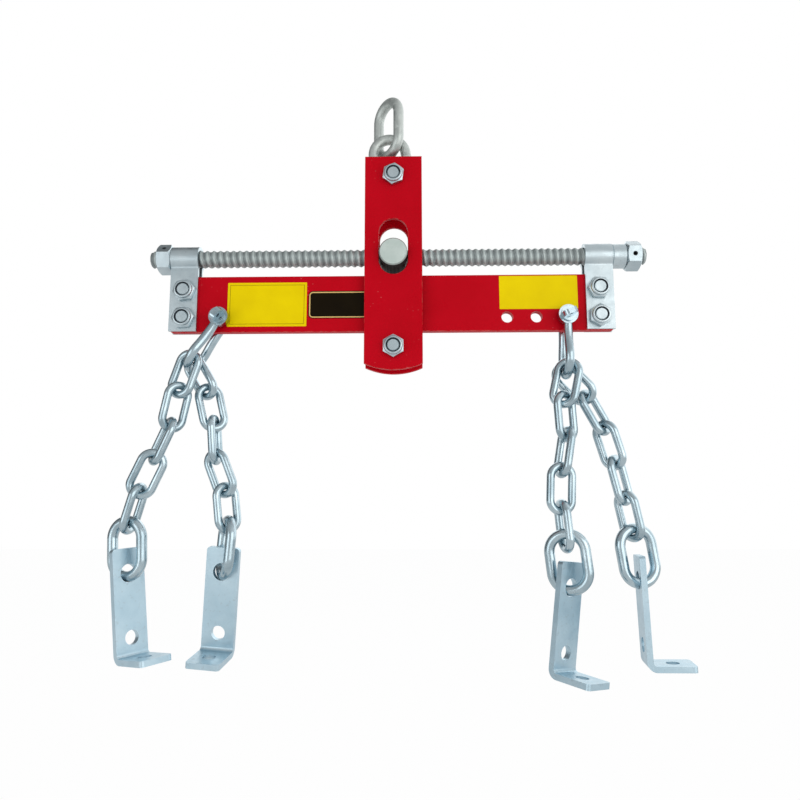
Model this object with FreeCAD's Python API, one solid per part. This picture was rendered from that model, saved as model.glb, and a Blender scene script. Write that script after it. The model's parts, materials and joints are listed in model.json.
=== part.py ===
import FreeCAD, Part
import math
import os

# Engine load leveler: a beam with a lead screw hangs in a carriage from two lifting links, and carries
# two shackles with two chains each, every chain ending in an L-shaped engine bracket.
# Millimetres and degrees. The origin is the hook seat inside the top of the upper lifting link,
# X runs along the beam to the right, Y away from the viewer, Z up.

V = FreeCAD.Vector
ORIGIN = V(0, 0, 0)
X_AXIS = V(1, 0, 0)
Y_AXIS = V(0, 1, 0)
Z_AXIS = V(0, 0, 1)
HALF_TURN = 180.0
FULL_TURN = 360.0
HEX_SIDES = 6
SIXTH_TURN = FULL_TURN / HEX_SIDES

# Clearances
seat_gap = 0.3
fit_gap = 0.1
thread_gap = 0.35
overrun = 2.0
edge_break = 0.5

# Lifting links
lift_wire = 9.5
lift_length = 61.5
lift_width = 39.5
upper_link_twist = 50.0
lower_link_twist = 0.0
lower_link_lean = 10.0

# Fasteners of the carriage and of the end brackets
bolt_diameter = 12.0
bolt_head_height = 7.5
bolt_tip_chamfer = 1.2
hex_width = 18.0
hex_bevel_share = 0.95
bevel_angle = 30.0
nut_height = 7.0
nut_hex_height = 4.6
nut_collar_diameter = 16.6
nut_collar_round = 1.4
insert_diameter = 14.6
insert_thickness = 1.8
insert_lip = 0.7
nut_mouth_diameter = 13.0
bolt_tip_recess = 0.4

# Lead screw and what is pinned to it
screw_diameter = 16.0
screw_pitch = 6.0
thread_depth = 1.3
screw_tip_chamfer = 1.5
screw_left_tail = 6.5
screw_right_tail = 5.0
drive_nut_width = 24.0
drive_nut_length = 13.0
left_drive_nut_turn = 17.0
right_drive_nut_turn = 6.5
left_pin_facet = 1
right_pin_facet = 0
collar_diameter = 22.0
collar_length = 12.5
collar_chamfer = 0.6
drive_pin_diameter = 4.0
drive_pin_wall = 0.8
drive_pin_slit = 0.7
drive_pin_recess = 0.9

# Beam
beam_length = 400.0
beam_height = 51.8
beam_thickness = 8.0
beam_corner_radius = 3.0
screw_rise = 43.7
shackle_hole_diameter = 10.4
shackle_hole_edge = 12.5
left_shackle_inset = 46.8
right_shackle_inset = 43.0
spare_hole_pitch = 26.2
spare_hole_count = 2

# End brackets
strap_width = 25.0
strap_thickness = 3.0
strap_neck_radius = 3.0
strap_loop_gap = 0.4
strap_short = 0.6
bracket_bolt_inset = 13.4
bracket_bolt_edge = 12.5
bracket_bolt_spacing = 25.4
bracket_nut_turns = [34.0, 39.0, 0.0, 27.0]

# Carriage
plate_width = 52.0
plate_thickness = 4.0
plate_gap = 17.0
plate_top_margin = 18.4
plate_side_margin = 15.2
plate_sagitta = 5.7
trunnion_drop = 75.0
carriage_travel = 2.6
slot_rise = 33.3
slot_drop = 18.9
slot_side_gap = 0.35
keeper_clearance = 9.8
hanger_nut_turn = -8.0
keeper_nut_turn = 0.0

# Trunnion nut
trunnion_diameter = 25.4
trunnion_stick_out = 6.3
trunnion_chamfer = 1.0

# Shackles
shackle_wire = 8.0
shackle_jaw = 12.7
shackle_bow_radius = 15.0
shackle_bow_drop = 37.0
shackle_eye_diameter = 17.0
shackle_eye_thickness = 8.8
shackle_neck_length = 10.0
shackle_pin_diameter = 9.0
shackle_pin_stick_out = 1.5
shackle_pin_chamfer = 0.8
pin_collar_diameter = 13.0
pin_collar_thickness = 2.5
pin_ear_width = 12.5
pin_ear_length = 9.0
pin_ear_thickness = 4.5
pin_ear_corner = 4.0
pin_ear_hole = 4.0
left_shackle_lean = -33.0
right_shackle_lean = -0.5
left_ear_turn = 4.0
right_ear_turn = 68.0

# Chain links: the small ones, and the larger one that holds each engine bracket
link_wire = 7.0
link_length = 46.0
link_width = 26.0
end_link_wire = 9.0
end_link_length = 56.0
end_link_width = 39.0

# Engine brackets: the hang room is what the end link's window leaves between a bracket and the chain
foot_thickness = 5.0
foot_width = 29.0
foot_length = 40.0
foot_height = 94.0
foot_bend_radius = 8.0
foot_corner_radius = 3.0
hang_hole_diameter = 15.5
hang_room = 10.0
hang_hole_edge = end_link_length - 2 * end_link_wire - link_wire - hang_room
leg_hole_diameter = 12.3
leg_hole_rise = 20.0
sole_hole_diameter = 11.0
sole_hole_reach = 23.0

# How each chain lies. A lean swings a piece's lower end to the right, a twist brings its right side to
# the front, the seat is the place round the shackle's bow, negative in front, and a dip lowers a toe.
chains = [
    dict(name="left_outer", side="left", seat=-21.0, leans=[-18, -11, -23, -24, -15, 3],
         twists=[16, -46, 54, -16, -82, 17], foot_turn=53.0, foot_lean=6.0, foot_dip=0.0),
    dict(name="left_inner", side="left", seat=38.0, leans=[31, 14, 5, 22, 7, -4],
         twists=[34, -30, -88, 24, -46, 62], foot_turn=-4.0, foot_lean=-4.0, foot_dip=7.0),
    dict(name="right_inner", side="right", seat=-23.0, leans=[-13, 3, -10, -3, 5, 6],
         twists=[24, -38, 75, -8, 79, 18], foot_turn=40.0, foot_lean=-7.0, foot_dip=0.0),
    dict(name="right_outer", side="right", seat=25.0, leans=[43, 28, 16, 13, 11, 8],
         twists=[30, -44, 50, -46, 58, -14], foot_turn=83.0, foot_lean=1.5, foot_dip=0.0),
]

# How finely the bows are sampled while a piece is lowered onto the one that carries it
bow_samples = 30
strand_samples = 6
rim_samples = 48
hang_attempts = 60
hang_tolerance_share = 0.01


def turned(lean, twist):
    """Rotation of a hanging piece: its lean in the XZ plane, then its twist about its own long axis."""
    return FreeCAD.Rotation(Y_AXIS, -lean).multiply(FreeCAD.Rotation(Z_AXIS, -twist))


def placed(shape, base, rotation=FreeCAD.Rotation()):
    """A copy of a shape, turned about its own origin and moved to base."""
    copy = shape.copy()
    copy.Placement = FreeCAD.Placement(base, rotation)
    return copy


def along(axis):
    """Rotation that lays a shape built along Z on another axis."""
    return FreeCAD.Rotation(Z_AXIS, axis)


def cylinder(diameter, length, base, axis):
    return Part.makeCylinder(diameter / 2, length, base, axis)


def bored(shape, diameter, base, axis, length):
    """The shape with a straight hole of the given length, cut past both ends."""
    start = base - axis * overrun
    return shape.cut(cylinder(diameter, length + 2 * overrun, start, axis))


def chamfered_rod(diameter, length, chamfer, first_too=True):
    """A round bar along Z from the origin, with its far end, and usually both ends, chamfered."""
    radius = diameter / 2
    first = [V(radius - chamfer, 0, 0), V(radius, 0, chamfer)] if first_too else [V(radius, 0, 0)]
    far = [V(radius, 0, length - chamfer), V(radius - chamfer, 0, length), V(0, 0, length)]
    points = [ORIGIN] + first + far
    outline = Part.makePolygon(points + [ORIGIN])
    return Part.Face(outline).revolve(ORIGIN, Z_AXIS, FULL_TURN)


def hexagon(width, height, bevel_low, bevel_high):
    """A hex prism along Z from the origin, a facet square to X, its corners bevelled at either end."""
    corner = width / math.sqrt(3)
    prism_points = []
    for side in range(HEX_SIDES + 1):
        angle = math.radians(SIXTH_TURN * (side + 1 / 2))
        prism_points.append(V(corner * math.cos(angle), corner * math.sin(angle), 0))
    prism = Part.Face(Part.makePolygon(prism_points)).extrude(V(0, 0, height))
    face = hex_bevel_share * width / 2
    rise = (corner - face) * math.tan(math.radians(bevel_angle))
    low = [V(face, 0, 0), V(corner, 0, rise)] if bevel_low else [V(corner, 0, 0)]
    high = [V(corner, 0, height - rise), V(face, 0, height)] if bevel_high else [V(corner, 0, height)]
    points = [V(0, 0, 0)] + low + high + [V(0, 0, height)]
    envelope = Part.Face(Part.makePolygon(points + [points[0]])).revolve(ORIGIN, Z_AXIS, FULL_TURN)
    return prism.common(envelope)


def hex_bolt(grip):
    """Bolt along Z: the head below the origin, the shank above it."""
    head = hexagon(hex_width, bolt_head_height, True, False)
    head.translate(V(0, 0, -bolt_head_height))
    shank = chamfered_rod(bolt_diameter, grip, bolt_tip_chamfer, first_too=False)
    return head.fuse(shank).removeSplitter()


def lock_nut():
    """Nut with a nylon insert, along Z from its seat, with the insert's groove in its collar."""
    hex_part = hexagon(hex_width, nut_hex_height, True, True)
    collar = cylinder(nut_collar_diameter, nut_height, ORIGIN, Z_AXIS)
    rim = [edge for edge in collar.Edges if edge.BoundBox.ZMin > nut_height / 2 and edge.Closed]
    collar = collar.makeFillet(nut_collar_round, rim)
    nut = hex_part.fuse(collar).removeSplitter()
    nut = bored(nut, bolt_diameter + 2 * fit_gap, ORIGIN, Z_AXIS, nut_height)
    groove_base = V(0, 0, nut_height - insert_lip - insert_thickness)
    nut = nut.cut(cylinder(insert_diameter, insert_thickness, groove_base, Z_AXIS))
    mouth_base = V(0, 0, nut_height - insert_lip)
    return nut.cut(cylinder(nut_mouth_diameter, insert_lip + overrun, mouth_base, Z_AXIS))


def nylon_insert():
    """The ring that fills a lock nut's groove."""
    base = V(0, 0, nut_height - insert_lip - insert_thickness)
    ring = cylinder(insert_diameter - 2 * fit_gap, insert_thickness - fit_gap, base, Z_AXIS)
    return bored(ring, bolt_diameter + 2 * fit_gap, base, Z_AXIS, insert_thickness)


def oval_link(wire, length, width):
    """A welded link in the XZ plane, long along Z, centred on the origin."""
    radius = (width - wire) / 2
    half = (length - width) / 2
    section = Part.Face(Part.Wire(Part.makeCircle(wire / 2, V(radius, 0, half), Z_AXIS)))
    top = section.revolve(V(0, 0, half), Y_AXIS, -HALF_TURN)
    right = section.extrude(V(0, 0, -2 * half))
    bottom = placed(top, ORIGIN, FreeCAD.Rotation(Y_AXIS, HALF_TURN))
    left = placed(right, ORIGIN, FreeCAD.Rotation(Y_AXIS, HALF_TURN))
    return top.fuse([right, bottom, left]).removeSplitter()


def bow_points(wire, length, width, place, upper):
    """Points on the centre line of a link's upper or lower half."""
    radius = (width - wire) / 2
    half = (length - width) / 2
    sign = 1 if upper else -1
    local = []
    for step in range(bow_samples + 1):
        angle = math.radians(HALF_TURN * step / bow_samples)
        local.append(V(radius * math.cos(angle), 0, sign * (half + radius * math.sin(angle))))
    for step in range(strand_samples):
        height = sign * half * step / strand_samples
        local.append(V(radius, 0, height))
        local.append(V(-radius, 0, height))
    return [tuple(place.multVec(point)) for point in local]


def least_distance(first, second):
    return min(math.dist(a, b) for a in first for b in second)


def hung_link(seat, carrier_points, carrier_wire, wire, length, width, rotation):
    """Place of a link whose upper bow hangs on the wire that passes through seat."""
    up = rotation.multVec(Z_AXIS)
    wanted = (carrier_wire + wire) / 2 + seat_gap
    lift = wanted
    for attempt in range(hang_attempts):
        place = FreeCAD.Placement(seat + up * (lift - (length - wire) / 2), rotation)
        short = wanted - least_distance(carrier_points, bow_points(wire, length, width, place, True))
        if short < hang_tolerance_share * seat_gap:
            break
        lift += short
    return place


def link_seat(wire, length, width, place, down):
    """Point of a link's lower bow, on its centre line, where a piece that pulls along down comes to hang."""
    normal = place.Rotation.multVec(Y_AXIS)
    pull = (down - normal * down.dot(normal)).normalize()
    return place.multVec(V(0, 0, -(length - width) / 2)) + pull * (width - wire) / 2


# Lifting links, and the heights that follow from how they hang
upper_link_place = FreeCAD.Placement(V(0, 0, -(lift_length / 2 - lift_wire)), turned(0, upper_link_twist))
lower_link_turn = turned(lower_link_lean, lower_link_twist)
upper_link_pull = lower_link_turn.multVec(-Z_AXIS)
upper_link_seat = link_seat(lift_wire, lift_length, lift_width, upper_link_place, upper_link_pull)
upper_link_bow = bow_points(lift_wire, lift_length, lift_width, upper_link_place, False)
lower_link_place = hung_link(upper_link_seat, upper_link_bow, lift_wire, lift_wire, lift_length, lift_width,
                             lower_link_turn)
lower_link_seat = link_seat(lift_wire, lift_length, lift_width, lower_link_place, -Z_AXIS)
hanger_x = lower_link_seat.x
hanger_z = lower_link_seat.z + lift_wire / 2 + seat_gap + bolt_diameter / 2
screw_z = hanger_z - trunnion_drop
beam_z = screw_z - screw_rise
beam_bottom_z = beam_z - beam_height / 2
keeper_z = beam_bottom_z - keeper_clearance - bolt_diameter / 2
plate_face_y = plate_gap / 2 + plate_thickness
strap_face_y = beam_thickness / 2 + strap_thickness
beam_left_x = hanger_x - carriage_travel - beam_length / 2
beam_right_x = beam_left_x + beam_length
screw_start_x = beam_left_x - seat_gap - drive_nut_length - screw_left_tail
right_nut_x = beam_right_x + seat_gap + collar_length
screw_end_x = right_nut_x + drive_nut_length + screw_right_tail


def carriage_plate():
    """One carriage plate, centred on X = 0 and from Y = 0 to its thickness."""
    half = plate_width / 2
    top = hanger_z + plate_top_margin
    side = keeper_z - plate_side_margin
    corners = [V(-half, 0, side), V(-half, 0, top), V(half, 0, top), V(half, 0, side)]
    edges = [Part.LineSegment(a, b).toShape() for a, b in zip(corners, corners[1:])]
    edges.append(Part.Arc(corners[3], V(0, 0, side - plate_sagitta), corners[0]).toShape())
    outline = Part.Face(Part.Wire(edges)).extrude(V(0, plate_thickness, 0))
    slot_radius = trunnion_diameter / 2 + slot_side_gap
    low = screw_z - slot_drop + slot_radius
    high = screw_z + slot_rise - slot_radius
    slot = cylinder(2 * slot_radius, plate_thickness, V(0, 0, low), Y_AXIS)
    slot = slot.fuse(cylinder(2 * slot_radius, plate_thickness, V(0, 0, high), Y_AXIS))
    waist = Part.makeBox(2 * slot_radius, plate_thickness, high - low, V(-slot_radius, 0, low))
    plate = outline.cut(slot.fuse(waist).removeSplitter())
    rims = [edge for edge in plate.Edges if edge.BoundBox.YLength < plate_thickness / 2]
    plate = plate.makeChamfer(edge_break, rims)
    for height in (hanger_z, keeper_z):
        plate = bored(plate, bolt_diameter + 2 * seat_gap, V(0, 0, height), Y_AXIS, plate_thickness)
    return plate


def screw_thread(start_x, turns, growth):
    """Rounded single-start thread along X: a round section, set off its axis, follows a helix."""
    offset = thread_depth / 2
    helix = Part.makeLongHelix(screw_pitch, screw_pitch * turns, offset, 0)
    section = Part.Wire(Part.makeCircle(screw_diameter / 2 - offset + growth, V(offset, 0, 0), Z_AXIS))
    sweep = Part.BRepOffsetAPI.MakePipeShell(Part.Wire(helix.Edges))
    sweep.setTrihedronMode(ORIGIN, Z_AXIS)
    sweep.add(section, False, False)
    sweep.build()
    sweep.makeSolid()
    return placed(sweep.shape(), V(start_x, 0, screw_z), along(X_AXIS))


def drive_pin_axis(nut_turn, facet):
    """Direction from the screw's axis out through one facet of a drive nut, towards the front."""
    angle = math.radians(SIXTH_TURN * facet - nut_turn)
    return V(0, -math.cos(angle), math.sin(angle))


left_pin_x = beam_left_x - seat_gap - drive_nut_length / 2
right_pin_x = right_nut_x + drive_nut_length / 2
left_pin_axis = drive_pin_axis(left_drive_nut_turn, left_pin_facet)
right_pin_axis = drive_pin_axis(right_drive_nut_turn, right_pin_facet)
drive_pins = [(left_pin_x, left_pin_axis), (right_pin_x, right_pin_axis)]


def lead_screw():
    length = screw_end_x - screw_start_x
    screw = screw_thread(screw_start_x, math.ceil(length / screw_pitch) + 1, 0)
    envelope = chamfered_rod(screw_diameter + 2 * fit_gap, length, screw_tip_chamfer)
    screw = screw.common(placed(envelope, V(screw_start_x, 0, screw_z), along(X_AXIS)))
    for pin_x, axis in drive_pins:
        start = V(pin_x, 0, screw_z) - axis * screw_diameter / 2
        screw = bored(screw, drive_pin_diameter + 2 * fit_gap, start, axis, screw_diameter)
    return screw


def drive_nut(pin_x, axis):
    """A drive nut, one facet square to its pin."""
    nut = hexagon(drive_nut_width, drive_nut_length, True, True)
    nut = bored(nut, screw_diameter + 2 * fit_gap, ORIGIN, Z_AXIS, drive_nut_length)
    rotation = FreeCAD.Rotation(axis, X_AXIS.cross(axis), X_AXIS, "ZXY")
    nut = placed(nut, V(pin_x - drive_nut_length / 2, 0, screw_z), rotation)
    start = V(pin_x, 0, screw_z) - axis * drive_nut_width / 2
    return bored(nut, drive_pin_diameter + 2 * fit_gap, start, axis, drive_nut_width)


def drive_nut_pins():
    """Slit spring pins, sunk a little below the facets at either end."""
    length = drive_nut_width - 2 * drive_pin_recess
    tube = cylinder(drive_pin_diameter, length, V(0, 0, -length / 2), Z_AXIS)
    bore = drive_pin_diameter - 2 * drive_pin_wall
    tube = bored(tube, bore, V(0, 0, -length / 2), Z_AXIS, length)
    slit = Part.makeBox(drive_pin_diameter, drive_pin_slit, length, V(0, -drive_pin_slit / 2, -length / 2))
    tube = tube.cut(slit)
    return Part.makeCompound([placed(tube, V(x, 0, screw_z), along(axis)) for x, axis in drive_pins])


def thrust_collar():
    ring = chamfered_rod(collar_diameter, collar_length, collar_chamfer)
    ring = bored(ring, screw_diameter + 2 * fit_gap, ORIGIN, Z_AXIS, collar_length)
    return placed(ring, V(beam_right_x + seat_gap, 0, screw_z), along(X_AXIS))


def trunnion_nut():
    """Cross nut along Y, with a thread that follows the lead screw's thread."""
    length = 2 * (plate_face_y + trunnion_stick_out)
    body = chamfered_rod(trunnion_diameter, length, trunnion_chamfer)
    body = placed(body, V(hanger_x, -length / 2, screw_z), along(Y_AXIS))
    reach = trunnion_diameter / 2 + screw_pitch
    skipped = math.floor((hanger_x - reach - screw_start_x) / screw_pitch)
    turns = math.ceil(2 * reach / screw_pitch) + 1
    return body.cut(screw_thread(screw_start_x + skipped * screw_pitch, turns, thread_gap))


shackle_hole_z = beam_bottom_z + shackle_hole_edge
left_hole_x = beam_left_x + left_shackle_inset
right_hole_x = beam_right_x - right_shackle_inset
spare_hole_xs = [right_hole_x - spare_hole_pitch * (index + 1) for index in range(spare_hole_count)]
bracket_bolt_z = beam_bottom_z + bracket_bolt_edge
bracket_bolt_zs = [bracket_bolt_z, bracket_bolt_z + bracket_bolt_spacing]
bracket_bolt_xs = [beam_left_x + bracket_bolt_inset, beam_right_x - bracket_bolt_inset]
bracket_bolt_places = [(x, z) for x in bracket_bolt_xs for z in bracket_bolt_zs]
bracket_nut_places = [(x, z, turn) for (x, z), turn in zip(bracket_bolt_places, bracket_nut_turns)]


def beam():
    corner = V(beam_left_x, -beam_thickness / 2, beam_bottom_z)
    bar = Part.makeBox(beam_length, beam_thickness, beam_height, corner)
    uprights = [edge for edge in bar.Edges if edge.BoundBox.YLength > beam_thickness / 2]
    bar = bar.makeFillet(beam_corner_radius, uprights)
    rims = [edge for edge in bar.Edges if edge.BoundBox.YLength < beam_thickness / 2]
    bar = bar.makeChamfer(edge_break, rims)
    for x in [left_hole_x, right_hole_x] + spare_hole_xs:
        start = V(x, -beam_thickness / 2, shackle_hole_z)
        bar = bored(bar, shackle_hole_diameter, start, Y_AXIS, beam_thickness)
    for x, z in bracket_bolt_places:
        start = V(x, -beam_thickness / 2, z)
        bar = bored(bar, bolt_diameter + 2 * seat_gap, start, Y_AXIS, beam_thickness)
    return bar


def strap_side(face_y, loop_radius, neck_radius, neck_y, side):
    """One face of a strap's leg and neck, from the leg's foot up to the loop, on one side of the beam."""
    reach = loop_radius + neck_radius
    neck = V(0, side * neck_y, screw_z - math.sqrt(reach ** 2 - neck_y ** 2))
    foot = V(0, side * face_y, beam_bottom_z + strap_short)
    bend = V(0, side * face_y, neck.z)
    loop = V(0, 0, screw_z)
    meet = loop + (neck - loop).normalize() * loop_radius
    middle = neck + ((bend - neck) + (meet - neck)).normalize() * neck_radius
    edges = [Part.LineSegment(foot, bend).toShape(), Part.Arc(bend, middle, meet).toShape()]
    return foot, meet, edges


def end_bracket(centre_x):
    """Strap bent round the screw like a keyhole, its two legs flat on the beam."""
    inner_y = beam_thickness / 2
    outer_radius = screw_diameter / 2 + strap_loop_gap + strap_thickness
    neck_y = strap_face_y + strap_neck_radius
    faces = [(strap_face_y, outer_radius, strap_neck_radius),
             (inner_y, outer_radius - strap_thickness, strap_neck_radius + strap_thickness)]
    edges = []
    feet = []
    for face_y, loop_radius, neck_radius in faces:
        front_foot, front_meet, front = strap_side(face_y, loop_radius, neck_radius, neck_y, -1)
        rear_foot, rear_meet, rear = strap_side(face_y, loop_radius, neck_radius, neck_y, 1)
        crown = V(0, 0, screw_z + loop_radius)
        edges += front + [Part.Arc(front_meet, crown, rear_meet).toShape()] + rear
        feet.append((front_foot, rear_foot))
    for outer_foot, inner_foot in zip(feet[0], feet[1]):
        edges.append(Part.LineSegment(outer_foot, inner_foot).toShape())
    outline = Part.Wire(Part.__sortEdges__(edges))
    strap = placed(Part.Face(outline).extrude(V(strap_width, 0, 0)), V(centre_x - strap_width / 2, 0, 0))
    for x, z in bracket_bolt_places:
        start = V(x, -strap_face_y, z)
        strap = bored(strap, bolt_diameter + 2 * seat_gap, start, Y_AXIS, 2 * strap_face_y)
    return strap


FRONTWARD = along(V(0, -1, 0))


def frontward(turn):
    """Rotation that lays a shape built along Z towards the viewer, clocked by turn."""
    return FRONTWARD.multiply(FreeCAD.Rotation(Z_AXIS, turn))


def bracket_bolts():
    bolt = hex_bolt(2 * strap_face_y + nut_height - bolt_tip_recess)
    return Part.makeCompound([placed(bolt, V(x, strap_face_y, z), FRONTWARD) for x, z in bracket_bolt_places])


def on_brackets(piece):
    """Four copies of a nut or insert, on the front of the end brackets."""
    copies = [placed(piece, V(x, -strap_face_y, z), frontward(turn)) for x, z, turn in bracket_nut_places]
    return Part.makeCompound(copies)


def carriage_bolt(height):
    bolt = hex_bolt(2 * plate_face_y + nut_height - bolt_tip_recess)
    return placed(bolt, V(hanger_x, plate_face_y, height), FRONTWARD)


def on_carriage(piece, height, turn):
    """A nut or insert on the front of the carriage."""
    return placed(piece, V(hanger_x, -plate_face_y, height), frontward(turn))


shackle_eye_y = (shackle_jaw + shackle_eye_thickness) / 2
shackle_face_y = shackle_jaw / 2 + shackle_eye_thickness
shackle_fall = shackle_bow_drop - shackle_neck_length
shackle_knee_radius = (shackle_eye_y ** 2 + shackle_fall ** 2 - shackle_bow_radius ** 2) / (
    2 * (shackle_bow_radius - shackle_eye_y))
shackle_flare = math.atan2(shackle_fall, shackle_eye_y + shackle_knee_radius)


def bow_point(angle):
    """Point of a shackle's bow, in its own frame, at an angle from its lowest point, negative in front."""
    fall = shackle_bow_radius * math.cos(angle)
    return V(0, shackle_bow_radius * math.sin(angle), -shackle_bow_drop - fall)


def shackle():
    """Bow shackle about its pin's axis, Y: straight necks under the eyes flow through knees into the bow."""
    meet = bow_point(-(math.pi / 2 + shackle_flare))
    knee_centre = V(0, -shackle_eye_y - shackle_knee_radius, -shackle_neck_length)
    heading = X_AXIS.cross(meet - knee_centre)
    section = Part.Face(Part.Wire(Part.makeCircle(shackle_wire / 2, meet, heading)))
    flare = math.degrees(shackle_flare)
    bow = section.revolve(V(0, 0, -shackle_bow_drop), X_AXIS, HALF_TURN + 2 * flare)
    knee = section.revolve(knee_centre, X_AXIS, flare)
    neck = cylinder(shackle_wire, shackle_neck_length, V(0, -shackle_eye_y, -shackle_neck_length), Z_AXIS)
    eye = cylinder(shackle_eye_diameter, shackle_eye_thickness, V(0, -shackle_face_y, 0), Y_AXIS)
    arm = [knee, neck, eye]
    other_arm = [piece.mirror(ORIGIN, Y_AXIS) for piece in arm]
    body = bow.fuse(arm + other_arm).removeSplitter()
    bore = shackle_pin_diameter + 2 * fit_gap
    return bored(body, bore, V(0, -shackle_face_y, 0), Y_AXIS, 2 * shackle_face_y)


def shackle_pin(ear_turn):
    """Screw pin along Y with a collar and a flat ear at the front."""
    length = 2 * shackle_face_y + shackle_pin_stick_out
    shank = chamfered_rod(shackle_pin_diameter, length, shackle_pin_chamfer, first_too=False)
    shank = placed(shank, V(0, -shackle_face_y, 0), along(Y_AXIS))
    collar_front = -shackle_face_y - pin_collar_thickness
    collar = cylinder(pin_collar_diameter, pin_collar_thickness, V(0, collar_front, 0), Y_AXIS)
    ear_corner = V(-pin_ear_thickness / 2, collar_front - pin_ear_length, -pin_ear_width / 2)
    ear = Part.makeBox(pin_ear_thickness, pin_ear_length, pin_ear_width, ear_corner)
    across = [edge for edge in ear.Edges if edge.BoundBox.XLength > pin_ear_thickness / 2]
    tips = [edge for edge in across if edge.BoundBox.YMax < collar_front - pin_ear_corner]
    ear = ear.makeFillet(pin_ear_corner, tips)
    hole_start = V(-pin_ear_thickness / 2, collar_front - pin_ear_length / 2, 0)
    ear = bored(ear, pin_ear_hole, hole_start, X_AXIS, pin_ear_thickness)
    ear = placed(ear, ORIGIN, FreeCAD.Rotation(Y_AXIS, ear_turn))
    return shank.fuse([collar, ear]).removeSplitter()


shackle_sag = (shackle_hole_diameter - shackle_pin_diameter) / 2 - seat_gap
shackle_pin_z = shackle_hole_z - shackle_sag
shackle_places = {
    "left": FreeCAD.Placement(V(left_hole_x, 0, shackle_pin_z), turned(left_shackle_lean, 0)),
    "right": FreeCAD.Placement(V(right_hole_x, 0, shackle_pin_z), turned(right_shackle_lean, 0)),
}


def shackle_bow_points(side):
    angles = [math.pi * (step / bow_samples - 1 / 2) for step in range(bow_samples + 1)]
    return [tuple(shackle_places[side].multVec(bow_point(angle))) for angle in angles]


def engine_bracket():
    """L-shaped plate about the centre of its hanging hole: the leg in the XZ plane, the foot to the front."""
    half = foot_thickness / 2
    bottom = hang_hole_edge - foot_height
    inner_radius = foot_bend_radius - foot_thickness
    tip_y = half - foot_length
    bend = V(0, half - foot_bend_radius, bottom + foot_bend_radius)
    diagonal = V(0, 1, -1).normalize()
    points = [V(0, half, hang_hole_edge), V(0, half, bend.z), V(0, bend.y, bottom), V(0, tip_y, bottom),
              V(0, tip_y, bottom + foot_thickness), V(0, bend.y, bottom + foot_thickness),
              V(0, -half, bend.z), V(0, -half, hang_hole_edge)]
    edges = [Part.LineSegment(points[0], points[1]).toShape(),
             Part.Arc(points[1], bend + diagonal * foot_bend_radius, points[2]).toShape(),
             Part.LineSegment(points[2], points[3]).toShape(),
             Part.LineSegment(points[3], points[4]).toShape(),
             Part.LineSegment(points[4], points[5]).toShape(),
             Part.Arc(points[5], bend + diagonal * inner_radius, points[6]).toShape(),
             Part.LineSegment(points[6], points[7]).toShape(),
             Part.LineSegment(points[7], points[0]).toShape()]
    plate = Part.Face(Part.Wire(edges)).extrude(V(foot_width, 0, 0))
    plate = placed(plate, V(-foot_width / 2, 0, 0))
    corners = []
    for edge in plate.Edges:
        box = edge.BoundBox
        on_top = box.ZMin > hang_hole_edge - half and box.YLength > half
        on_tip = box.YMax < tip_y + half and box.ZLength > half
        if on_top or on_tip:
            corners.append(edge)
    plate = plate.makeFillet(foot_corner_radius, corners)
    plate = bored(plate, hang_hole_diameter, V(0, -half, 0), Y_AXIS, foot_thickness)
    plate = bored(plate, leg_hole_diameter, V(0, -half, bottom + leg_hole_rise), Y_AXIS, foot_thickness)
    return bored(plate, sole_hole_diameter, V(0, half - sole_hole_reach, bottom), Z_AXIS, foot_thickness)


def standing_bracket(seat, carrier_points, rotation):
    """Place of an engine bracket that stands, with the end link's wire through seat low in its hole."""
    up = rotation.multVec(Z_AXIS)
    wanted = end_link_wire / 2 + seat_gap
    drop = hang_hole_diameter / 2 - wanted
    for attempt in range(hang_attempts):
        place = FreeCAD.Placement(seat + up * drop, rotation)
        rim = []
        for step in range(rim_samples):
            angle = 2 * math.pi * step / rim_samples
            across = hang_hole_diameter / 2 * math.cos(angle)
            height = hang_hole_diameter / 2 * math.sin(angle)
            for face in (-foot_thickness / 2, foot_thickness / 2):
                rim.append(tuple(place.multVec(V(across, face, height))))
        short = wanted - least_distance(carrier_points, rim)
        if short < hang_tolerance_share * seat_gap:
            break
        drop -= short
    return place


def link_size(index, count):
    """Wire, length and width of a chain's link: the last link is the larger one."""
    if index == count - 1:
        return end_link_wire, end_link_length, end_link_width
    return link_wire, link_length, link_width


def chain_layout(chain):
    """Places of one chain's links and of its bracket, each hung on the piece above it."""
    rows = []
    seat = shackle_places[chain["side"]].multVec(bow_point(math.radians(chain["seat"])))
    carrier_points = shackle_bow_points(chain["side"])
    carrier_wire = shackle_wire
    rotations = [turned(lean, twist) for lean, twist in zip(chain["leans"], chain["twists"])]
    foot_rotation = turned(chain["foot_lean"], -chain["foot_turn"])
    foot_rotation = foot_rotation.multiply(FreeCAD.Rotation(X_AXIS, chain["foot_dip"]))
    for index, rotation in enumerate(rotations):
        size = link_size(index, len(rotations))
        place = hung_link(seat, carrier_points, carrier_wire, *size, rotation)
        rows.append(dict(size=size, place=place, seat=seat))
        below = (rotations + [foot_rotation])[index + 1]
        seat = link_seat(*size, place, below.multVec(-Z_AXIS))
        carrier_points = bow_points(*size, place, False)
        carrier_wire = size[0]
    foot_place = standing_bracket(seat, carrier_points, foot_rotation)
    return rows, dict(place=foot_place, seat=seat)


layouts = {chain["name"]: chain_layout(chain) for chain in chains}

lift_link = oval_link(lift_wire, lift_length, lift_width)
nut = lock_nut()
insert = nylon_insert()
plate = carriage_plate()
shackle_body = shackle()
small_link = oval_link(link_wire, link_length, link_width)
end_link = oval_link(end_link_wire, end_link_length, end_link_width)
bracket = engine_bracket()

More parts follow.
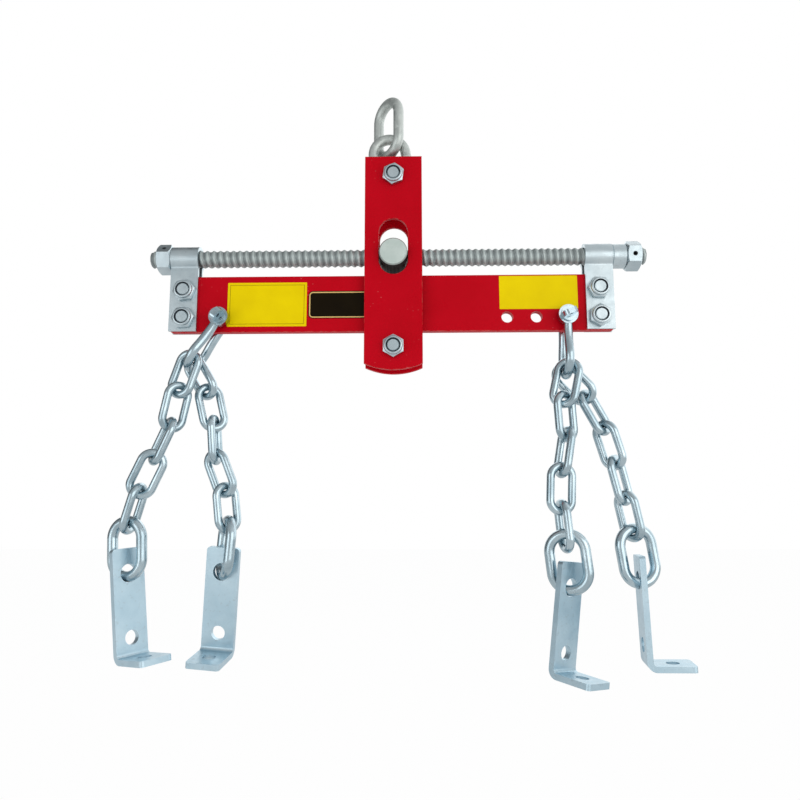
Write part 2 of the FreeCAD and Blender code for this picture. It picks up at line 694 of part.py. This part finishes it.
nodes = {
    "upper_lifting_link": placed(lift_link, upper_link_place.Base, upper_link_place.Rotation),
    "lower_lifting_link": placed(lift_link, lower_link_place.Base, lower_link_place.Rotation),
    "front_carriage_plate": placed(plate, V(hanger_x, -plate_face_y, 0)),
    "rear_carriage_plate": placed(plate, V(hanger_x, plate_gap / 2, 0)),
    "hanger_bolt": carriage_bolt(hanger_z),
    "hanger_lock_nut": on_carriage(nut, hanger_z, hanger_nut_turn),
    "keeper_bolt": carriage_bolt(keeper_z),
    "keeper_lock_nut": on_carriage(nut, keeper_z, keeper_nut_turn),
    "carriage_nylon_inserts": Part.makeCompound([on_carriage(insert, z, 0) for z in (hanger_z, keeper_z)]),
    "trunnion_nut": trunnion_nut(),
    "beam": beam(),
    "left_end_bracket": end_bracket(beam_left_x + strap_width / 2),
    "right_end_bracket": end_bracket(beam_right_x - strap_width / 2),
    "bracket_bolts": bracket_bolts(),
    "bracket_lock_nuts": on_brackets(nut),
    "bracket_nylon_inserts": on_brackets(insert),
    "lead_screw": lead_screw(),
    "left_drive_nut": drive_nut(left_pin_x, left_pin_axis),
    "right_drive_nut": drive_nut(right_pin_x, right_pin_axis),
    "drive_nut_pins": drive_nut_pins(),
    "thrust_collar": thrust_collar(),
}
for side, ear_turn in (("left", left_ear_turn), ("right", right_ear_turn)):
    base, rotation = shackle_places[side].Base, shackle_places[side].Rotation
    nodes[side + "_shackle"] = placed(shackle_body, base, rotation)
    nodes[side + "_shackle_pin"] = placed(shackle_pin(ear_turn), base, rotation)
for name, (rows, foot) in layouts.items():
    for index, row in enumerate(rows):
        last = index == len(rows) - 1
        label = f"{name}_end_link" if last else f"{name}_link_{index + 1}"
        nodes[label] = placed(end_link if last else small_link, row["place"].Base, row["place"].Rotation)
    nodes[f"{name}_engine_bracket"] = placed(bracket, foot["place"].Base, foot["place"].Rotation)

os.makedirs("parts", exist_ok=True)
for name, shape in nodes.items():
    shape.exportStep(f"parts/{name}.step")
print(len(nodes), "pieces")
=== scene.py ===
import json
import math
import bpy
import bmesh
from mathutils import Matrix, Vector

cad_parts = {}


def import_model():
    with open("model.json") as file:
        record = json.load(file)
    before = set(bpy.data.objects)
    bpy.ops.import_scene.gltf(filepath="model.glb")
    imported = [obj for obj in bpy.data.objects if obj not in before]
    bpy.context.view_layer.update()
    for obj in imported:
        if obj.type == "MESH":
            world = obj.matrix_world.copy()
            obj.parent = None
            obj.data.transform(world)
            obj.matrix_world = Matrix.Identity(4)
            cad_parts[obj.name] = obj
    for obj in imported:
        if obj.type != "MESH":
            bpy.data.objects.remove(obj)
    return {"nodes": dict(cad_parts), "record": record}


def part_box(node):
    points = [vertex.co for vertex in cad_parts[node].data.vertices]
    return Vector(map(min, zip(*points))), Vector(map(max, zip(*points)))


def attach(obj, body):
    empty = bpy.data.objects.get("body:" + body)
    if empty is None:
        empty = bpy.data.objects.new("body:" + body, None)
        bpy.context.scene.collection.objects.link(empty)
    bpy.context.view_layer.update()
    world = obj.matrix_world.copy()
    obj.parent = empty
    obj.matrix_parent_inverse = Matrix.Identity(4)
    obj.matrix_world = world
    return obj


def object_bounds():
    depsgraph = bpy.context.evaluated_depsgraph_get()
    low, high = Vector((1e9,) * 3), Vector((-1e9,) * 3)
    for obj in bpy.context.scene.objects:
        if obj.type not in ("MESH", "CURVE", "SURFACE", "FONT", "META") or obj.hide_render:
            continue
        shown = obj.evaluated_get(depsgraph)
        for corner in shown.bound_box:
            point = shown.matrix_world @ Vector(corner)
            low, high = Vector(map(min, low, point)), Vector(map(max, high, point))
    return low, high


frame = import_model()
cad_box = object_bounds()

MM = 0.001
QUARTER_TURN = math.pi / 2
UNIT_SPAN = (0.0, 1.0)


def rgb(red, green, blue):
    """An opaque colour."""
    return (red, green, blue, 1.0)


WHITE = rgb(1.0, 1.0, 1.0)

# Camera: its place in the frame, and its angles in radians. A positive pitch looks up, a positive yaw looks
# to the right, and a positive roll lifts the camera's right side.
image_size = 800
focal_pixels = 700.0
sensor_width = 36.0
camera_place = Vector((22.9, -615.0, -372.5)) * MM
camera_pitch = 0.1505
camera_yaw = -0.0201
camera_roll = -0.0011

# Softboxes: places and sizes in metres, powers in watts
softboxes = {
    "key": {"place": (1.25, -1.5, -0.15), "size": (1.9, 1.6), "power": 12.0, "colour": (1.0, 0.99, 0.97)},
    "fill": {"place": (-1.3, -1.4, -0.35), "size": (1.2, 1.2), "power": 6.0, "colour": (0.97, 0.99, 1.0)},
    "back": {"place": (0.2, 1.6, 1.0), "size": (1.8, 1.2), "power": 5.0, "colour": (1.0, 1.0, 1.0)},
}

# Room: the even fill that lights the object, and how bright the room is in what metal mirrors, where 1 is
# white. A span is the part of a direction's X (left to right) or Y (front to back) over which one level
# passes into the next.
fill_strength = 0.62
fill_colour = rgb(0.96, 0.98, 1.0)
front_left_share = 0.50
front_right_share = 0.80
front_span = (-0.5, 0.5)
side_left_share = 0.15
side_right_share = 1.5
side_span = (-0.2, 0.7)
front_to_side_span = (-0.40, 0.20)
side_to_backdrop_span = (0.55, 0.80)

# Floor: its drop below the object and its size are in metres. Most of it glows white, and the share of its
# own shading that is left takes the shadow.
floor_drop = 0.25
floor_size = 12.0
floor_colour = rgb(0.95, 0.95, 0.95)
floor_roughness = 0.9
floor_shadow_share = 0.03
floor_mirrored_share = 0.75

# Labels: corners as (X, Z) from the middle of the beam's front, in millimetres as the other lengths in the
# table. The inset and width are those of a line printed inside the edge.
labels = {
    "left_label": {"low": (-148.0, -20.9), "high": (-76.0, 20.0), "radius": 0.6, "sheet": "yellow_ink",
                   "line": "amber_ink", "inset": 2.1, "width": 0.5},
    "middle_label": {"low": (-74.5, -13.8), "high": (-20.0, 11.8), "radius": 4.2, "sheet": "black_ink",
                     "line": "cream_ink", "inset": 0.8, "width": 1.0},
    "right_label": {"low": (97.9, -6.2), "high": (168.1, 24.7), "radius": 0.6, "sheet": "yellow_ink"},
}
label_thickness = 0.12 * MM
line_thickness = 0.02 * MM
smallest_corner = 0.1 * MM
corner_steps = 6
ink_colours = {
    "yellow_ink": {"colour": rgb(0.90, 0.68, 0.0), "shade": rgb(0.84, 0.62, 0.0)},
    "amber_ink": {"colour": rgb(0.42, 0.26, 0.004), "shade": rgb(0.36, 0.22, 0.003)},
    "black_ink": {"colour": rgb(0.010, 0.006, 0.001), "shade": rgb(0.007, 0.004, 0.001)},
    "cream_ink": {"colour": rgb(0.80, 0.56, 0.22), "shade": rgb(0.72, 0.48, 0.17)},
}

# Red enamel
red_deep = rgb(0.50, 0.001, 0.008)
red_light = rgb(0.565, 0.0015, 0.011)
# A lighter red for the edges: partly the coat rubbed thin, partly a painted highlight
red_rubbed_and_highlight = rgb(0.62, 0.09, 0.08)
red_dust = rgb(0.80, 0.40, 0.40)

# Zinc plating: plain, bright for chains and shackles, bluish for the engine brackets
zinc_finishes = {
    "zinc_steel": {"dark": rgb(0.47, 0.56, 0.60), "pale": rgb(0.62, 0.70, 0.73),
                   "roughness": (0.30, 0.46), "dent_strength": 0.12},
    "bright_zinc": {"dark": rgb(0.32, 0.42, 0.47), "pale": rgb(0.55, 0.66, 0.71),
                    "roughness": (0.14, 0.30), "dent_strength": 0.30},
    "blue_zinc": {"dark": rgb(0.46, 0.62, 0.71), "pale": rgb(0.57, 0.72, 0.80),
                  "roughness": (0.32, 0.46), "dent_strength": 0.10},
}
zinc_span = (0.30, 0.72)
zinc_spot = rgb(0.36, 0.43, 0.46)

# Galvanised steel
spangle_dark = rgb(0.43, 0.47, 0.45)
spangle_pale = rgb(0.61, 0.65, 0.63)
spangle_cloud = rgb(0.54, 0.58, 0.56)

# Rolled thread: its depth, and its colours by height, where 0 is the root and 1 the crest. These colours are
# painted light: painted shade in the root and in a band on the flanks, painted highlights between them and
# near the crest.
thread_depth = 1.3 * MM
thread_painted_shade = rgb(0.22, 0.25, 0.25)
thread_painted_tones = [
    (0.05, thread_painted_shade),
    (0.35, rgb(0.38, 0.43, 0.43)),
    (0.60, thread_painted_shade),
    (0.78, rgb(0.50, 0.56, 0.55)),
    (0.98, rgb(0.46, 0.52, 0.51)),
]

# Turned steel, its side a near black painted shade, black oxide and nylon
turned_dark = rgb(0.60, 0.70, 0.66)
turned_pale = rgb(0.74, 0.83, 0.79)
turned_side_painted_shade = rgb(0.03, 0.03, 0.03)
oxide_dark = rgb(0.020, 0.021, 0.023)
oxide_pale = rgb(0.045, 0.046, 0.048)
nylon_dark = rgb(0.020, 0.026, 0.034)
nylon_pale = rgb(0.036, 0.044, 0.056)

# Textures: the span in which noise mostly lies, and the depths of bumps
noise_span = (0.3, 0.7)
grain_depth = 0.2 * MM
peel_depth = 0.4 * MM
dent_depth = 0.6 * MM


def add(tree, kind, inputs=None, **settings):
    """A shader node: settings go on the node, inputs are values or the sockets that feed them."""
    made = tree.nodes.new(kind)
    for name, value in settings.items():
        setattr(made, name, value)
    for name, value in (inputs or {}).items():
        if isinstance(value, bpy.types.NodeSocket):
            tree.links.new(value, made.inputs[name])
        else:
            made.inputs[name].default_value = value
    return made


def new_material(name, **sockets):
    """A material with a Principled shader whose constant values are set on its own sockets."""
    made = bpy.data.materials.new(name)
    made.use_nodes = True
    shader = made.node_tree.nodes["Principled BSDF"]
    for socket, value in sockets.items():
        shader.inputs[socket.replace("_", " ")].default_value = value
    return made, made.node_tree, shader


def feed(tree, shader, **sockets):
    """Links what varies over the surface to the shader's sockets."""
    for socket, value in sockets.items():
        tree.links.new(value, shader.inputs[socket.replace("_", " ")])


def object_coords(tree):
    """Places in the piece's own axes, in metres."""
    return add(tree, "ShaderNodeTexCoord").outputs["Object"]


def normal_parts(tree):
    """The surface's own normal in the object's axes, as X, Y and Z."""
    normal = add(tree, "ShaderNodeTexCoord").outputs["Normal"]
    return add(tree, "ShaderNodeSeparateXYZ", {"Vector": normal}).outputs


def noise(tree, where, scale, detail=3.0, roughness=0.5):
    """A cloudy texture, its scale in cells a metre."""
    made = add(tree, "ShaderNodeTexNoise", {"Vector": where, "Scale": scale, "Detail": detail,
                                            "Roughness": roughness})
    return made.outputs["Fac"]


def ramp(tree, fac, stops):
    """Colour ramp from (place, colour) stops."""
    made = add(tree, "ShaderNodeValToRGB", {"Fac": fac})
    elements = made.color_ramp.elements
    elements[0].position, elements[0].color = stops[0]
    elements[1].position, elements[1].color = stops[-1]
    for place, colour in stops[1:-1]:
        elements.new(place).color = colour
    return made.outputs["Color"]


def spread(tree, value, old, new):
    """Maps a value from one span to another, held at the ends."""
    made = add(tree, "ShaderNodeMapRange", {"Value": value, "From Min": old[0], "From Max": old[1],
                                            "To Min": new[0], "To Max": new[1]})
    return made.outputs["Result"]


def tones(tree, fac, span, dark, pale):
    """A colour that passes from dark to pale as fac crosses the span."""
    return ramp(tree, fac, [(span[0], dark), (span[1], pale)])


def tint(tree, where, dark, pale, scale, detail=3.0):
    """A colour that drifts between two tones."""
    return tones(tree, noise(tree, where, scale, detail), noise_span, dark, pale)


def drift(tree, where, levels, scale, detail=3.0):
    """A number that drifts between two levels."""
    return spread(tree, noise(tree, where, scale, detail), noise_span, levels)


def mix(tree, fac, first, second):
    """The first colour where fac is 0, the second where it is 1."""
    made = add(tree, "ShaderNodeMixRGB", {"Fac": fac, "Color1": first, "Color2": second})
    return made.outputs["Color"]


def math_node(tree, operation, first, second=0.0):
    """A sum or the like on numbers or sockets."""
    made = add(tree, "ShaderNodeMath", operation=operation)
    for index, value in enumerate((first, second)):
        if isinstance(value, bpy.types.NodeSocket):
            tree.links.new(value, made.inputs[index])
        else:
            made.inputs[index].default_value = value
    return made.outputs["Value"]


def blend(tree, share, first, second):
    """The first shader where the share is 0, the second where it is 1."""
    made = add(tree, "ShaderNodeMixShader", {"Fac": share})
    tree.links.new(first, made.inputs[1])
    tree.links.new(second, made.inputs[2])
    return made.outputs["Shader"]


def bump(tree, height, strength, depth, below=None):
    """A normal bent by a height texture, over another bent normal if one is given."""
    made = add(tree, "ShaderNodeBump", {"Height": height, "Strength": strength, "Distance": depth})
    if below is not None:
        tree.links.new(below, made.inputs["Normal"])
    return made.outputs["Normal"]


def edge_share(tree):
    """1 on the rounded edges between faces that are square to the axes, 0 on the faces."""
    parts = normal_parts(tree)
    flatness = math_node(tree, "ABSOLUTE", parts["X"])
    for axis in ("Y", "Z"):
        flatness = math_node(tree, "MAXIMUM", flatness, math_node(tree, "ABSOLUTE", parts[axis]))
    return spread(tree, flatness, old=(0.80, 0.72), new=UNIT_SPAN)


def red_paint():
    """Glossy red enamel with orange peel, nibs and specks of dust, and a lighter red along the edges that is
    both a coat rubbed thin and a painted highlight.
    """
    made, tree, shader = new_material("red_paint", Specular_IOR_Level=0.05)
    where = object_coords(tree)
    coat = tint(tree, where, red_deep, red_light, scale=18.0)
    rubbed_and_highlit_patches = spread(tree, noise(tree, where, scale=220.0, detail=4.0), old=(0.42, 0.62), new=(0.0, 0.6))
    worn_and_highlit = math_node(tree, "MULTIPLY", edge_share(tree), rubbed_and_highlit_patches)
    # Patches along the edges turn lighter red: rubbed paint, and a painted highlight too
    coat = mix(tree, worn_and_highlit, coat, red_rubbed_and_highlight)
    cells = add(tree, "ShaderNodeTexVoronoi", {"Vector": where, "Scale": 230.0}).outputs["Distance"]
    nibs = spread(tree, cells, old=(0.0, 0.14), new=(1.0, 0.0))
    dusty = spread(tree, noise(tree, where, scale=22.0, detail=4.0), old=(0.52, 0.64), new=(0.0, 0.7))
    specks = math_node(tree, "MULTIPLY", nibs, dusty)
    peel = bump(tree, noise(tree, where, scale=620.0, detail=2.0), strength=0.10, depth=peel_depth)
    feed(tree, shader, Base_Color=mix(tree, specks, coat, red_dust),
         Roughness=drift(tree, where, (0.26, 0.40), scale=60.0),
         Normal=bump(tree, nibs, strength=0.20, depth=grain_depth, below=peel))
    return made


def zinc_steel(name, dark, pale, roughness, dent_strength):
    """Blue-white zinc plating: cloudy, dented, with a fine grain and small dull spots."""
    made, tree, shader = new_material(name, Metallic=1.0)
    where = object_coords(tree)
    cloud = noise(tree, where, scale=42.0, detail=5.0, roughness=0.6)
    colour = tones(tree, cloud, zinc_span, dark, pale)
    spots = spread(tree, noise(tree, where, scale=310.0), old=(0.60, 0.72), new=(0.0, 0.35))
    dents = bump(tree, noise(tree, where, scale=95.0, detail=2.0), dent_strength, dent_depth)
    grain = noise(tree, where, scale=1500.0, detail=2.0)
    feed(tree, shader, Base_Color=mix(tree, spots, colour, zinc_spot),
         Roughness=drift(tree, where, roughness, scale=130.0, detail=4.0),
         Normal=bump(tree, grain, strength=0.10, depth=grain_depth, below=dents))
    return made


def galvanised_steel():
    """Dull hot-dip zinc: a grey spangle of small crystals."""
    made, tree, shader = new_material("galvanised_steel", Metallic=0.85)
    where = object_coords(tree)
    cells = add(tree, "ShaderNodeTexVoronoi", {"Vector": where, "Scale": 240.0})
    crystal = add(tree, "ShaderNodeSeparateColor", {"Color": cells.outputs["Color"]}).outputs["Red"]
    spangle = tones(tree, crystal, UNIT_SPAN, spangle_dark, spangle_pale)
    cloud = spread(tree, noise(tree, where, scale=70.0, detail=4.0), old=(0.35, 0.70), new=(0.0, 0.55))
    lumps = bump(tree, noise(tree, where, scale=160.0), strength=0.25, depth=dent_depth)
    grain = noise(tree, where, scale=1100.0, detail=2.0)
    feed(tree, shader, Base_Color=mix(tree, cloud, spangle, spangle_cloud),
         Roughness=spread(tree, crystal, old=UNIT_SPAN, new=(0.40, 0.56)),
         Normal=bump(tree, grain, strength=0.12, depth=grain_depth, below=lumps))
    return made


def screw_steel(axis_z, crest_radius):
    """Rolled thread with painted light: a painted highlight palest near the crests, painted shade in the
    roots and in a band on the flanks.
    """
    made, tree, shader = new_material("screw_steel", Metallic=0.65)
    where = object_coords(tree)
    split = add(tree, "ShaderNodeSeparateXYZ", {"Vector": where}).outputs
    up = math_node(tree, "SUBTRACT", split["Z"], axis_z)
    squares = [math_node(tree, "POWER", part, 2.0) for part in (up, split["Y"])]
    radius = math_node(tree, "SQRT", math_node(tree, "ADD", *squares))
    height = spread(tree, radius, old=(crest_radius - thread_depth, crest_radius), new=UNIT_SPAN)
    stain = drift(tree, where, (-0.2, 0.2), scale=160.0, detail=4.0)
    stained_shading_height = math_node(tree, "ADD", height, stain)
    grain = noise(tree, where, scale=1300.0, detail=2.0)
    # The colour by height is painted shade in the roots and on the flanks, and painted highlight near the
    # crests
    feed(tree, shader, Base_Color=ramp(tree, stained_shading_height, thread_painted_tones),
         Roughness=spread(tree, stained_shading_height, old=UNIT_SPAN, new=(0.62, 0.50)),
         Normal=bump(tree, grain, strength=0.12, depth=grain_depth))
    return made


def turned_steel(axis_z):
    """Lathe-turned steel: pale faced ends with fine rings, and a near black side that is painted shade."""
    made, tree, shader = new_material("turned_steel", Specular_IOR_Level=0.02)
    where = object_coords(tree)
    centred = add(tree, "ShaderNodeVectorMath", operation="SUBTRACT")
    tree.links.new(where, centred.inputs[0])
    centred.inputs[1].default_value = (0.0, 0.0, axis_z)
    rings = add(tree, "ShaderNodeTexWave", {"Vector": centred.outputs["Vector"], "Scale": 260.0,
                                            "Distortion": 0.6, "Detail": 2.0},
                wave_type="RINGS", rings_direction="Y").outputs["Fac"]
    face = tint(tree, where, turned_dark, turned_pale, scale=90.0, detail=4.0)
    along = math_node(tree, "ABSOLUTE", normal_parts(tree)["Y"])
    end_share = spread(tree, along, old=(0.55, 0.85), new=UNIT_SPAN)
    # The side is painted shade: near black and not metal where the ends' share falls off
    feed(tree, shader, Metallic=end_share, Base_Color=mix(tree, end_share, turned_side_painted_shade, face),
         Roughness=spread(tree, rings, old=UNIT_SPAN, new=(0.34, 0.46)),
         Normal=bump(tree, rings, strength=0.06, depth=grain_depth))
    return made


def black_oxide():
    """Dull black finish of the spring pins."""
    made, tree, shader = new_material("black_oxide", Metallic=1.0)
    where = object_coords(tree)
    feed(tree, shader, Base_Color=tint(tree, where, oxide_dark, oxide_pale, scale=500.0),
         Roughness=drift(tree, where, (0.42, 0.58), scale=900.0))
    return made


def nylon():
    """Dark insert of a lock nut, slightly waxy."""
    made, tree, shader = new_material("nylon")
    where = object_coords(tree)
    feed(tree, shader, Base_Color=tint(tree, where, nylon_dark, nylon_pale, scale=400.0),
         Roughness=drift(tree, where, (0.38, 0.52), scale=700.0))
    return made


def printed_vinyl(name, colour, shade):
    """Glossy printed film, its ink a little uneven, with the slight lift of a sticker laid by hand."""
    made, tree, shader = new_material(name, Specular_IOR_Level=0.06)
    where = object_coords(tree)
    lift = noise(tree, where, scale=80.0, detail=2.0)
    feed(tree, shader, Base_Color=tint(tree, where, shade, colour, scale=55.0),
         Roughness=drift(tree, where, (0.30, 0.42), scale=120.0),
         Normal=bump(tree, lift, strength=0.06, depth=dent_depth))
    return made


def new_object(name, data):
    """An object of the scene."""
    made = bpy.data.objects.new(name, data)
    bpy.context.scene.collection.objects.link(made)
    return made


def rounded_outline(low, high, radius, inset=0.0):
    """A rounded rectangle, anticlockwise, as (x, z) pairs: the whole one, or one that lies inside it."""
    low_x, low_z = (value + inset for value in low)
    high_x, high_z = (value - inset for value in high)
    corner = max(radius - inset, smallest_corner)
    centres = [(high_x - corner, high_z - corner), (low_x + corner, high_z - corner),
               (low_x + corner, low_z + corner), (high_x - corner, low_z + corner)]
    points = []
    for quarter, (x, z) in enumerate(centres):
        for step in range(corner_steps + 1):
            angle = QUARTER_TURN * (quarter + step / corner_steps)
            points.append((x + corner * math.cos(angle), z + corner * math.sin(angle)))
    return points


def rows(build, outline, *levels):
    """The outline's points at each level of Y."""
    return [[build.verts.new((x, y, z)) for x, z in outline] for y in levels]


def band(build, first, second):
    """Faces between two rows of points."""
    for index in range(len(first)):
        after = (index + 1) % len(first)
        build.faces.new((first[index], first[after], second[after], second[index]))


def film(name, outer, inner, back_y, front_y, material):
    """A thin closed sheet between two Y planes: a plain one, or a ring if an inner outline is given."""
    build = bmesh.new()
    back, front = rows(build, outer, back_y, front_y)
    band(build, front, back)
    if inner:
        inner_back, inner_front = rows(build, inner, back_y, front_y)
        band(build, inner_back, inner_front)
        band(build, inner_front, front)
        band(build, back, inner_back)
    else:
        build.faces.new(front)
        build.faces.new(back)
    bmesh.ops.recalc_face_normals(build, faces=build.faces)
    mesh = bpy.data.meshes.new(name)
    build.to_mesh(mesh)
    build.free()
    mesh.materials.append(material)
    return new_object(name, mesh)


def label(name, shape, inks, centre, face_y):
    """A blank printed label on the face: a sheet and, where it has one, a line printed inside its edge."""
    low = (centre.x + shape["low"][0] * MM, centre.z + shape["low"][1] * MM)
    high = (centre.x + shape["high"][0] * MM, centre.z + shape["high"][1] * MM)
    radius = shape["radius"] * MM
    front_y = face_y - label_thickness
    edge = rounded_outline(low, high, radius)
    pieces = [film(name + "_sheet", edge, None, face_y, front_y, inks[shape["sheet"]])]
    if "line" in shape:
        inset = shape["inset"] * MM
        outer = rounded_outline(low, high, radius, inset)
        inner = rounded_outline(low, high, radius, inset + shape["width"] * MM)
        line_y = front_y - line_thickness
        pieces.append(film(name + "_border", outer, inner, front_y, line_y, inks[shape["line"]]))
    return pieces


def seen_rays(tree):
    """1 for rays from the camera and for what metal or glass shows, 0 for rays that light the object."""
    path = add(tree, "ShaderNodeLightPath").outputs
    seen = math_node(tree, "MAXIMUM", path["Is Camera Ray"], path["Is Glossy Ray"])
    return math_node(tree, "MAXIMUM", seen, path["Is Transmission Ray"])


def floor_finish():
    """White where the floor is seen, dimmer in what metal mirrors, with a little of its own shading."""
    made, tree, shader = new_material("floor", Base_Color=floor_colour, Roughness=floor_roughness)
    glossy = add(tree, "ShaderNodeLightPath").outputs["Is Glossy Ray"]
    level = spread(tree, glossy, old=UNIT_SPAN, new=(1.0, floor_mirrored_share))
    glow = add(tree, "ShaderNodeEmission", {"Color": WHITE, "Strength": level})
    share = math_node(tree, "MULTIPLY", seen_rays(tree), 1.0 - floor_shadow_share)
    both = blend(tree, share, shader.outputs["BSDF"], glow.outputs["Emission"])
    tree.links.new(both, tree.nodes["Material Output"].inputs["Surface"])
    return made


def floor():
    """A wide pale floor well below the hanging object."""
    reach = floor_size / 2
    height = cad_box[0].z - floor_drop
    corners = [(-reach, -reach), (reach, -reach), (reach, reach), (-reach, reach)]
    mesh = bpy.data.meshes.new("floor")
    mesh.from_pydata([(x, y, height) for x, y in corners], [], [(0, 1, 2, 3)])
    mesh.materials.append(floor_finish())
    new_object("floor", mesh)


def room_brightness(tree):
    """How bright the room is by direction: dim on its left, brighter on its right, white at the backdrop."""
    generated = add(tree, "ShaderNodeTexCoord").outputs["Generated"]
    direction = add(tree, "ShaderNodeSeparateXYZ", {"Vector": generated}).outputs
    front = spread(tree, direction["X"], front_span, (front_left_share, front_right_share))
    side = spread(tree, direction["X"], side_span, (side_left_share, side_right_share))
    room = spread(tree, direction["Y"], front_to_side_span, (front, side))
    backdrop = spread(tree, direction["Y"], side_to_backdrop_span, UNIT_SPAN)
    return math_node(tree, "MAXIMUM", room, backdrop)


def background(tree, colour, strength):
    """A light of the world."""
    return add(tree, "ShaderNodeBackground", {"Color": colour, "Strength": strength}).outputs["Background"]


def world():
    """White where it is seen, a room in what metal mirrors, and an even fill that lights the object."""
    made = bpy.data.worlds.new("studio")
    bpy.context.scene.world = made
    made.use_nodes = True
    tree = made.node_tree
    tree.nodes.clear()
    glossy = add(tree, "ShaderNodeLightPath").outputs["Is Glossy Ray"]
    shown = blend(tree, glossy, background(tree, WHITE, 1.0), background(tree, WHITE, room_brightness(tree)))
    both = blend(tree, seen_rays(tree), background(tree, fill_colour, fill_strength), shown)
    tree.links.new(both, add(tree, "ShaderNodeOutputWorld").inputs["Surface"])


def softbox(name, target, place, size, power, colour):
    """A rectangular lamp that faces the target."""
    light = bpy.data.lights.new(name, "AREA")
    light.shape = "RECTANGLE"
    light.size, light.size_y = size
    light.energy = power
    light.color = colour
    made = new_object(name, light)
    made.location = place
    made.rotation_euler = (target - Vector(place)).to_track_quat("-Z", "Y").to_euler()


def camera():
    """The camera at the photograph's viewing angle."""
    data = bpy.data.cameras.new("camera")
    data.sensor_width = sensor_width
    data.lens = focal_pixels / image_size * sensor_width
    level = math.cos(camera_pitch)
    ahead = Vector((math.sin(camera_yaw) * level, math.cos(camera_yaw) * level, math.sin(camera_pitch)))
    across = Vector((math.cos(camera_yaw), -math.sin(camera_yaw), 0.0))
    upward = across.cross(ahead)
    right = across * math.cos(camera_roll) + upward * math.sin(camera_roll)
    top = upward * math.cos(camera_roll) - across * math.sin(camera_roll)
    axes = Matrix((right, top, -ahead)).transposed()
    made = new_object("camera", data)
    made.matrix_world = Matrix.Translation(camera_place) @ axes.to_4x4()
    bpy.context.scene.camera = made


# Finishes, by the record's slots, and those that some nodes have in place of their slot's
slots = {row["node"]: row["material_slot"] for row in frame["record"]["subparts"]}
screw_low, screw_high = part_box("lead_screw")
screw_axis_z = (screw_low.z + screw_high.z) / 2
crest_radius = (screw_high.z - screw_low.z) / 2
finishes = {
    "red_paint": red_paint(),
    "zinc_steel": zinc_steel("zinc_steel", **zinc_finishes["zinc_steel"]),
    "galvanised_steel": galvanised_steel(),
    "screw_steel": screw_steel(screw_axis_z, crest_radius),
    "turned_steel": turned_steel(screw_axis_z),
    "nylon": nylon(),
}
bright_zinc = zinc_steel("bright_zinc", **zinc_finishes["bright_zinc"])
blue_zinc = zinc_steel("blue_zinc", **zinc_finishes["blue_zinc"])
own_finishes = {"drive_nut_pins": black_oxide()}
for node, slot in slots.items():
    if node.endswith("_engine_bracket"):
        own_finishes[node] = blue_zinc
    elif slot == "zinc_steel" and ("link" in node or "shackle" in node):
        own_finishes[node] = bright_zinc
for node, piece in frame["nodes"].items():
    piece.data.materials.clear()
    piece.data.materials.append(own_finishes.get(node, finishes[slots[node]]))

# Labels on the beam's front
beam_low, beam_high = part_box("beam")
beam_centre = (beam_low + beam_high) / 2
inks = {name: printed_vinyl(name, **colours) for name, colours in ink_colours.items()}
for name, shape in labels.items():
    for piece in label(name, shape, inks, beam_centre, beam_low.y):
        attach(piece, "beam")

# Stage, light and camera
floor()
world()
middle = (cad_box[0] + cad_box[1]) / 2
for name, lamp in softboxes.items():
    softbox(name, middle, **lamp)
camera()
bpy.context.scene.view_settings.view_transform = "Standard"
